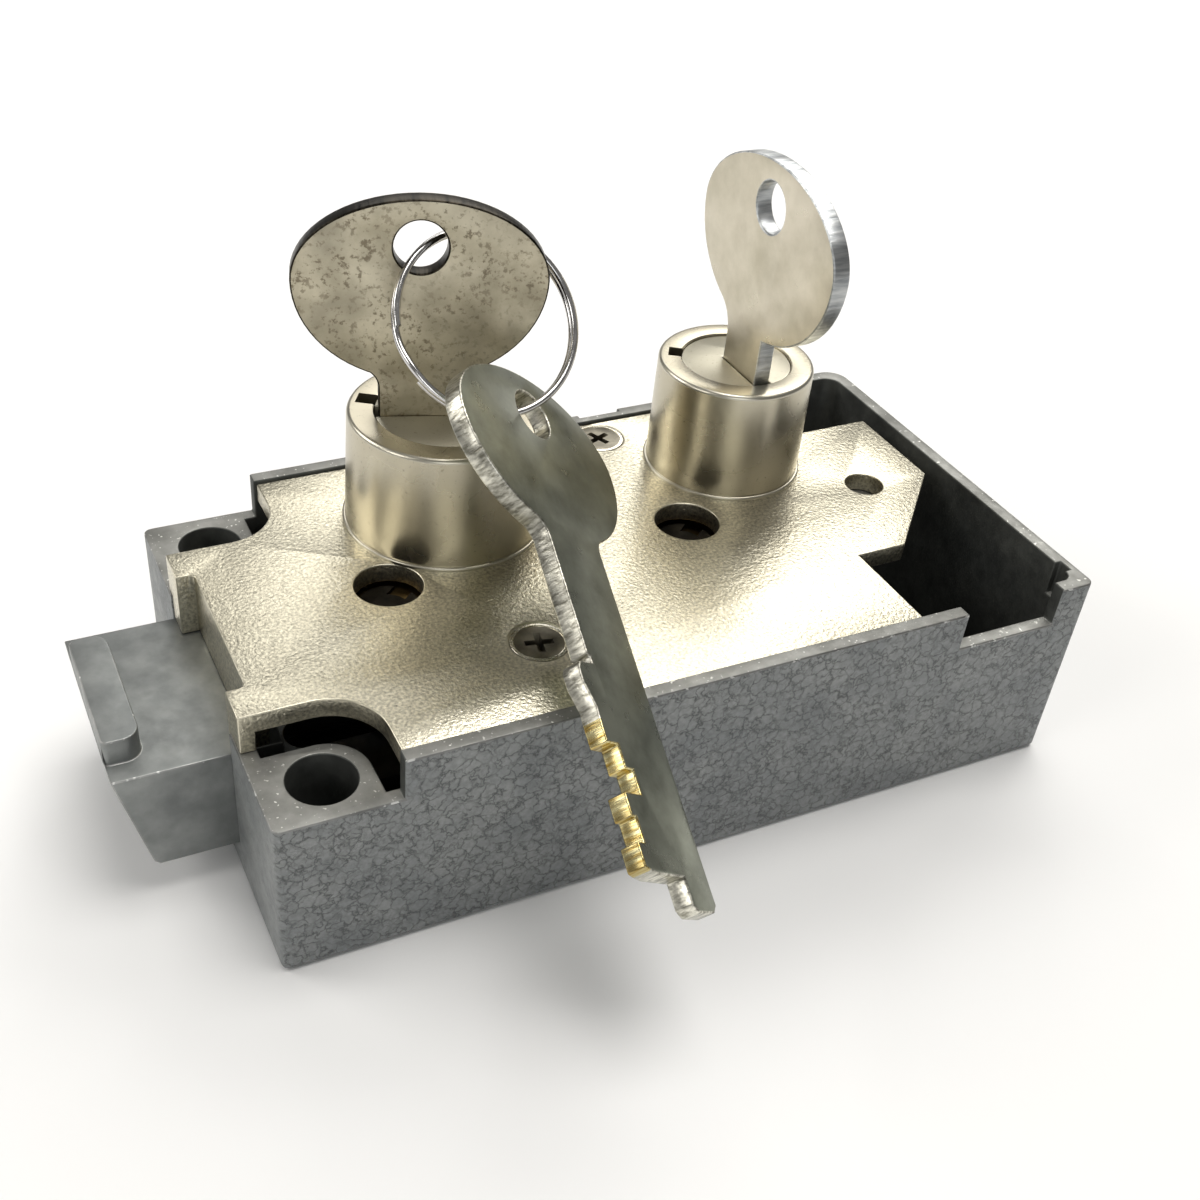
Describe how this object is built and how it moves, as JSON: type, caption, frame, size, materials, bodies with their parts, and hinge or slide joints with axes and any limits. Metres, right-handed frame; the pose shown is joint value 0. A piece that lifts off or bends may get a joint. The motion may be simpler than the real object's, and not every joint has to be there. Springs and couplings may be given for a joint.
{
  "type": "double-nose safe deposit box lock",
  "caption": "Flat surface-mounted lock with two round key noses, two lever packs, a square sliding bolt, inserted keys and a spare key on a split ring.",
  "frame": {"origin": "middle of the case's flat back face", "axes": "+Z out of the front of the lock, +X from the bolt end towards the open end, +Y towards the side with the noses"},
  "size_m": [0.117, 0.0812, 0.0686],
  "materials": {
    "case_paint": "grey hammertone paint over die-cast zinc, bare cast grey on the rim and lugs",
    "cover_nickel": "satin nickel plate with a fine glittering orange-peel grain",
    "nose_nickel": "smooth satin nickel",
    "plug_nickel": "turned satin nickel",
    "key_nickel_worn": "dull nickel with brown stains",
    "key_nickel_bright": "satin nickel with a milled edge",
    "key_nickel_green": "bright nickel with brass-coloured fresh cuts",
    "ring_steel": "bright steel wire",
    "screw_steel": "dark nickel with a bright rim",
    "bolt_zinc": "bare die-cast zinc, mottled grey",
    "bright_steel": "turned steel",
    "spring_steel": "blued spring steel",
    "lever_brass": "stamped brass"
  },
  "bodies": {
    "case": {"case": "case_paint", "cover": "cover_nickel", "renter_nose": "nose_nickel", "guard_nose": "nose_nickel", "cover_screws": "screw_steel", "renter_lever_post": "bright_steel", "guard_lever_post": "bright_steel", "post_clips": "screw_steel", "renter_springs": "spring_steel", "guard_springs": "spring_steel"},
    "bolt": {"bolt": "bolt_zinc", "renter_fence": "bright_steel", "guard_fence": "bright_steel"},
    "renter_plug": {"renter_plug": "plug_nickel", "renter_key": "key_nickel_worn"},
    "guard_plug": {"guard_plug": "plug_nickel", "guard_key": "key_nickel_bright"},
    "renter_lever_1": {"renter_lever_1": "lever_brass"},
    "renter_lever_2": {"renter_lever_2": "lever_brass"},
    "renter_lever_3": {"renter_lever_3": "lever_brass"},
    "renter_lever_4": {"renter_lever_4": "lever_brass"},
    "renter_lever_5": {"renter_lever_5": "lever_brass"},
    "renter_lever_6": {"renter_lever_6": "lever_brass"},
    "guard_lever_1": {"guard_lever_1": "lever_brass"},
    "guard_lever_2": {"guard_lever_2": "lever_brass"},
    "guard_lever_3": {"guard_lever_3": "lever_brass"},
    "guard_lever_4": {"guard_lever_4": "lever_brass"},
    "guard_lever_5": {"guard_lever_5": "lever_brass"},
    "key_ring": {"key_ring": "ring_steel"},
    "spare_key": {"spare_key": "key_nickel_green"}
  },
  "joints": [
    {"name": "renter_turn", "type": "hinge", "parent": "case", "child": "renter_plug", "pos_m": [-0.0174, 0.0124, 0.03], "axis": [0, 0, 1], "range_deg": [-90, 0], "deforming": ["renter_springs"]},
    {"name": "bolt_slide", "type": "slide", "parent": "case", "child": "bolt", "axis": [1, 0, 0], "range_m": [0, 0.0109]},
    {"name": "guard_turn", "type": "hinge", "parent": "case", "child": "guard_plug", "pos_m": [0.0226, 0.0124, 0.03], "axis": [0, 0, 1], "range_deg": [-121, 0], "deforming": ["guard_springs"]},
    {"name": "renter_lever_1_lift", "type": "hinge", "parent": "case", "child": "renter_lever_1", "pos_m": [-0.0291, 0.00055, 0.0093], "axis": [0, 0, 1], "range_deg": [0, 3.6]},
    {"name": "renter_lever_2_lift", "type": "hinge", "parent": "case", "child": "renter_lever_2", "pos_m": [-0.0291, 0.00055, 0.0119], "axis": [0, 0, 1], "range_deg": [0, 3.1]},
    {"name": "renter_lever_3_lift", "type": "hinge", "parent": "case", "child": "renter_lever_3", "pos_m": [-0.0291, 0.00055, 0.0145], "axis": [0, 0, 1], "range_deg": [0, 3]},
    {"name": "renter_lever_4_lift", "type": "hinge", "parent": "case", "child": "renter_lever_4", "pos_m": [-0.0291, 0.00055, 0.0171], "axis": [0, 0, 1], "range_deg": [0, 3.5]},
    {"name": "renter_lever_5_lift", "type": "hinge", "parent": "case", "child": "renter_lever_5", "pos_m": [-0.0291, 0.00055, 0.0197], "axis": [0, 0, 1], "range_deg": [0, 3.3]},
    {"name": "renter_lever_6_lift", "type": "hinge", "parent": "case", "child": "renter_lever_6", "pos_m": [-0.0291, 0.00055, 0.0223], "axis": [0, 0, 1], "range_deg": [0, 3.6]},
    {"name": "guard_lever_1_lift", "type": "hinge", "parent": "case", "child": "guard_lever_1", "pos_m": [0.0109, 0.00055, 0.0093], "axis": [0, 0, 1], "range_deg": [0, 5]},
    {"name": "guard_lever_2_lift", "type": "hinge", "parent": "case", "child": "guard_lever_2", "pos_m": [0.0109, 0.00055, 0.0124], "axis": [0, 0, 1], "range_deg": [0, 4.6]},
    {"name": "guard_lever_3_lift", "type": "hinge", "parent": "case", "child": "guard_lever_3", "pos_m": [0.0109, 0.00055, 0.0155], "axis": [0, 0, 1], "range_deg": [0, 4.8]},
    {"name": "guard_lever_4_lift", "type": "hinge", "parent": "case", "child": "guard_lever_4", "pos_m": [0.0109, 0.00055, 0.0186], "axis": [0, 0, 1], "range_deg": [0, 4.2]},
    {"name": "guard_lever_5_lift", "type": "hinge", "parent": "case", "child": "guard_lever_5", "pos_m": [0.0109, 0.00055, 0.0217], "axis": [0, 0, 1], "range_deg": [0, 5]},
    {"name": "ring_swing", "type": "hinge", "parent": "renter_plug", "child": "key_ring", "pos_m": [-0.02028, 0.0135, 0.06148], "axis": [0.8551, 0.358, 0.375], "range_deg": [-14.4, 0]},
    {"name": "spare_swing", "type": "hinge", "parent": "key_ring", "child": "spare_key", "pos_m": [-0.01311, 0.00079, 0.04677], "axis": [-0.9867, -0.124, -0.105], "range_deg": [0, 45]}
  ],
  "couplings": [
    {"joint": "bolt_slide", "follows": "renter_turn", "m_per_rad": -0.0069392},
    {"joint": "renter_lever_1_lift", "follows": "renter_turn", "ratio": -0.04},
    {"joint": "renter_lever_2_lift", "follows": "renter_turn", "ratio": -0.034444},
    {"joint": "renter_lever_3_lift", "follows": "renter_turn", "ratio": -0.033333},
    {"joint": "renter_lever_4_lift", "follows": "renter_turn", "ratio": -0.038889},
    {"joint": "renter_lever_5_lift", "follows": "renter_turn", "ratio": -0.036667},
    {"joint": "renter_lever_6_lift", "follows": "renter_turn", "ratio": -0.04},
    {"joint": "guard_lever_1_lift", "follows": "guard_turn", "ratio": -0.041322},
    {"joint": "guard_lever_2_lift", "follows": "guard_turn", "ratio": -0.038017},
    {"joint": "guard_lever_3_lift", "follows": "guard_turn", "ratio": -0.039669},
    {"joint": "guard_lever_4_lift", "follows": "guard_turn", "ratio": -0.034711},
    {"joint": "guard_lever_5_lift", "follows": "guard_turn", "ratio": -0.041322},
    {"joint": "ring_swing", "follows": "renter_turn", "ratio": 0.16}
  ]
}
